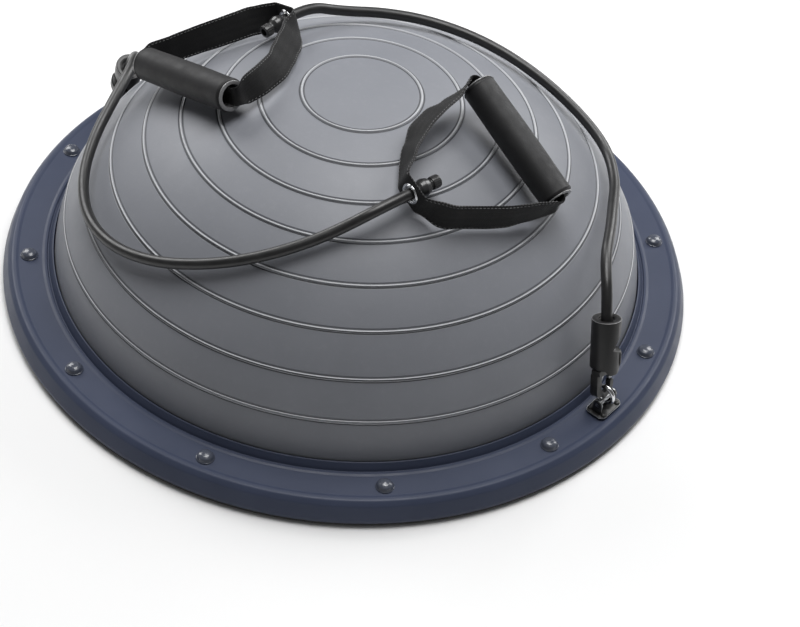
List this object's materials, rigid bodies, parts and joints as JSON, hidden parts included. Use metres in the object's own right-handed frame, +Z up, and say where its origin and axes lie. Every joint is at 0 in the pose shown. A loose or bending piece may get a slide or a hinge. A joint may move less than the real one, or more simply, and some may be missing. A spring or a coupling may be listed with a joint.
{
  "type": "balance dome trainer",
  "caption": "Inflated half-dome balance trainer on a round platform, with clip-on rubber resistance tubes and D-shaped foam handles.",
  "frame": {"origin": "centre of the platform on the floor", "axes": "+Z up out of the platform through the dome's top; -Y towards the user, with the front tube's clip at +X -Y"},
  "size_m": [0.5849, 0.585, 0.224],
  "materials": {
    "tray_plastic": "fine grained",
    "foot_rubber": "matt",
    "ring_plastic": "satin",
    "dome_vinyl": "satin, fine grain",
    "zinc_steel": "zinc plated",
    "valve_plastic": "satin",
    "valve_rubber": "matt",
    "black_metal": "satin black",
    "chrome_wire": "polished",
    "gate_steel": "satin",
    "black_plastic": "satin",
    "tube_latex": "satin",
    "webbing": "woven",
    "grip_foam": "fine closed-cell foam",
    "plug_plastic": "gloss"
  },
  "bodies": {
    "platform": {"base_tray": "tray_plastic", "rubber_feet": "foot_rubber", "cover_ring": "ring_plastic", "screw_caps": "ring_plastic", "clamp_screws": "zinc_steel", "clamp_nuts": "zinc_steel", "dome_bladder": "dome_vinyl", "valve_body": "valve_plastic", "anchor_plate_right": "black_metal", "anchor_rivets_right": "zinc_steel", "anchor_pin_right": "zinc_steel", "hook_body_right": "black_metal", "gate_pin_right": "zinc_steel", "gate_spring_right": "zinc_steel", "clip_housing_right": "black_plastic", "tube_stop_right": "valve_rubber", "rubber_tube_right": "tube_latex", "anchor_plate_left": "black_metal", "anchor_rivets_left": "zinc_steel", "anchor_pin_left": "zinc_steel", "hook_body_left": "black_metal", "gate_pin_left": "zinc_steel", "gate_spring_left": "zinc_steel", "clip_housing_left": "black_plastic", "tube_stop_left": "valve_rubber", "rubber_tube_left": "tube_latex", "tube_plug_front": "plug_plastic", "tube_plug_rear": "plug_plastic"},
    "valve_plug": {"valve_plug": "valve_rubber"},
    "link_right": {"anchor_link_right": "chrome_wire"},
    "gate_right": {"hook_gate_right": "gate_steel"},
    "link_left": {"anchor_link_left": "chrome_wire"},
    "gate_left": {"hook_gate_left": "gate_steel"},
    "handle_front": {"handle_strap_front": "webbing", "grommet_front": "chrome_wire"},
    "grip_front": {"grip_core_front": "black_plastic", "grip_foam_front": "grip_foam"},
    "handle_rear": {"handle_strap_rear": "webbing", "grommet_rear": "chrome_wire"},
    "grip_rear": {"grip_core_rear": "black_plastic", "grip_foam_rear": "grip_foam"}
  },
  "joints": [
    {"name": "valve_plug_pull", "type": "slide", "parent": "platform", "child": "valve_plug", "axis": [0, 0, -1], "range_m": [0, 0.012]},
    {"name": "link_swing_right", "type": "hinge", "parent": "platform", "child": "link_right", "pos_m": [0.21506, -0.16324, 0.033], "axis": [0.6046, 0.7965, 0], "range_deg": [-15, 15]},
    {"name": "gate_open_right", "type": "hinge", "parent": "platform", "child": "gate_right", "pos_m": [0.21599, -0.15052, 0.05575], "axis": [-0.7617, 0.5782, -0.2924], "range_deg": [0, 25], "stiffness_Nm_per_rad": 0.02, "springref_deg": -5.73},
    {"name": "link_swing_left", "type": "hinge", "parent": "platform", "child": "link_left", "pos_m": [-0.21981, 0.15679, 0.033], "axis": [-0.5807, -0.8141, 0], "range_deg": [-15, 15]},
    {"name": "gate_open_left", "type": "hinge", "parent": "platform", "child": "gate_left", "pos_m": [-0.21823, 0.14241, 0.05464], "axis": [0.7437, -0.5305, -0.4067], "range_deg": [0, 25], "stiffness_Nm_per_rad": 0.02, "springref_deg": -5.73},
    {"name": "handle_lift_front", "type": "hinge", "parent": "platform", "child": "handle_front", "pos_m": [0.0443, -0.1154, 0.189], "axis": [0.6155, -0.6772, -0.4032], "range_deg": [0, 18]},
    {"name": "grip_spin_front", "type": "hinge", "parent": "handle_front", "child": "grip_front", "pos_m": [0.12547, -0.04116, 0.18823], "axis": [-0.6155, 0.6772, 0.4032], "continuous": true},
    {"name": "handle_lift_rear", "type": "hinge", "parent": "platform", "child": "handle_rear", "pos_m": [-0.0671, 0.0893, 0.1925], "axis": [-0.6864, 0.6644, -0.2957], "range_deg": [0, 18]},
    {"name": "grip_spin_rear", "type": "hinge", "parent": "handle_rear", "child": "grip_rear", "pos_m": [-0.14093, 0.00842, 0.18216], "axis": [0.6864, -0.6644, 0.2957], "continuous": true}
  ]
}
